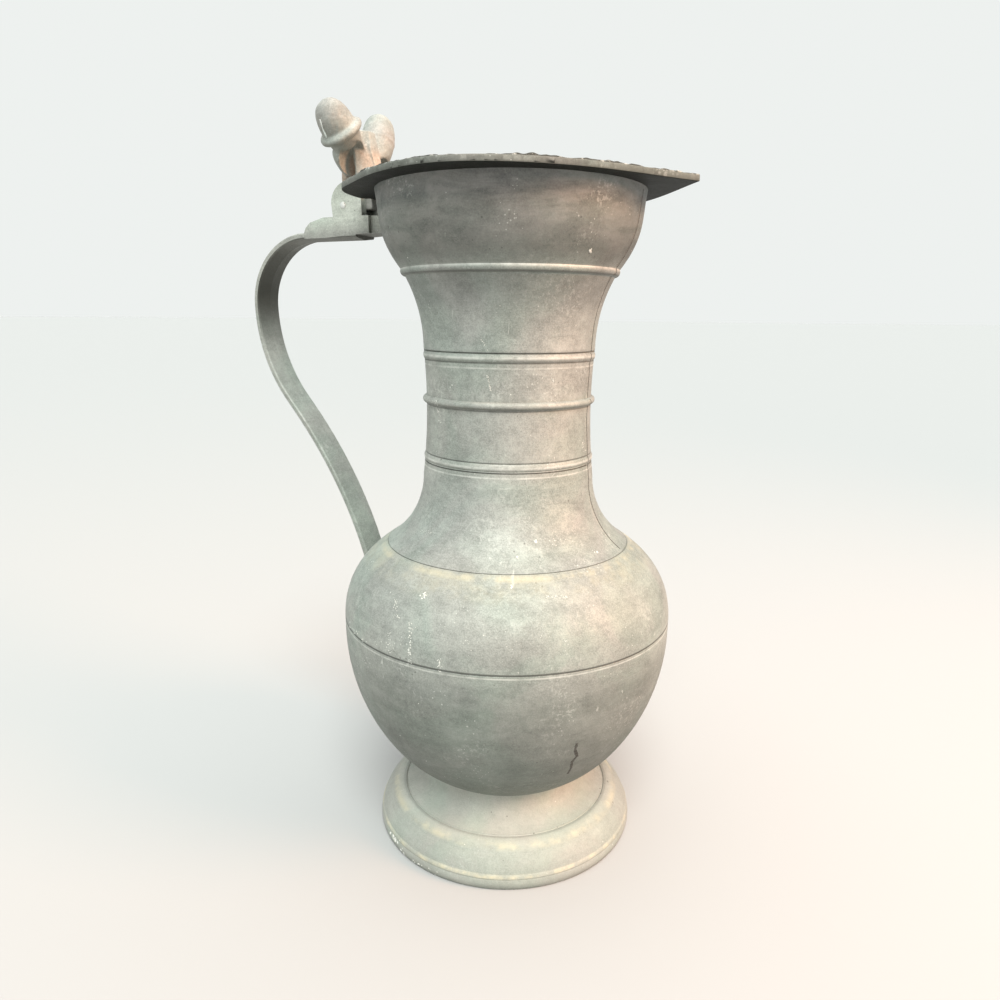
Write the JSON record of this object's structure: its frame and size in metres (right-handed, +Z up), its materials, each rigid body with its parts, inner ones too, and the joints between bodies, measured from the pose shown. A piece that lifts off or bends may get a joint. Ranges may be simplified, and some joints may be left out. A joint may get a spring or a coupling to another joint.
{
  "type": "lidded flagon",
  "caption": "Old pewter flagon with a round bowl, waisted neck, strap handle and a hinged heart-shaped lid with an acorn thumbpiece.",
  "frame": {"origin": "centre of the foot's resting plane, on the vessel's axis", "axes": "+Z up along the vessel's axis, +X towards the tip of the lid, handle and hinge at -X"},
  "size_m": [0.1945, 0.1378, 0.3038],
  "materials": {
    "pewter_body": "dull, oxidised, scratched",
    "pewter_foot": "dull, worn, yellowish",
    "pewter_handle": "dull, rubbed by the hand",
    "pin_metal": "peened",
    "pewter_lid": "dark, crusted edge",
    "pewter_cast": "rough casting, matt"
  },
  "bodies": {
    "vessel": {"neck_left_half": "pewter_body", "neck_right_half": "pewter_body", "bowl_upper": "pewter_body", "bowl_lower": "pewter_body", "base_disc": "pewter_body", "foot": "pewter_foot", "handle": "pewter_handle", "hinge_pin": "pin_metal"},
    "lid": {"lid": "pewter_lid", "thumbpiece": "pewter_cast"}
  },
  "joints": [
    {"name": "lid_hinge", "type": "hinge", "parent": "vessel", "child": "lid", "pos_m": [-0.0728, 0, 0.265], "axis": [0, -1, 0], "range_deg": [0, 95]}
  ]
}
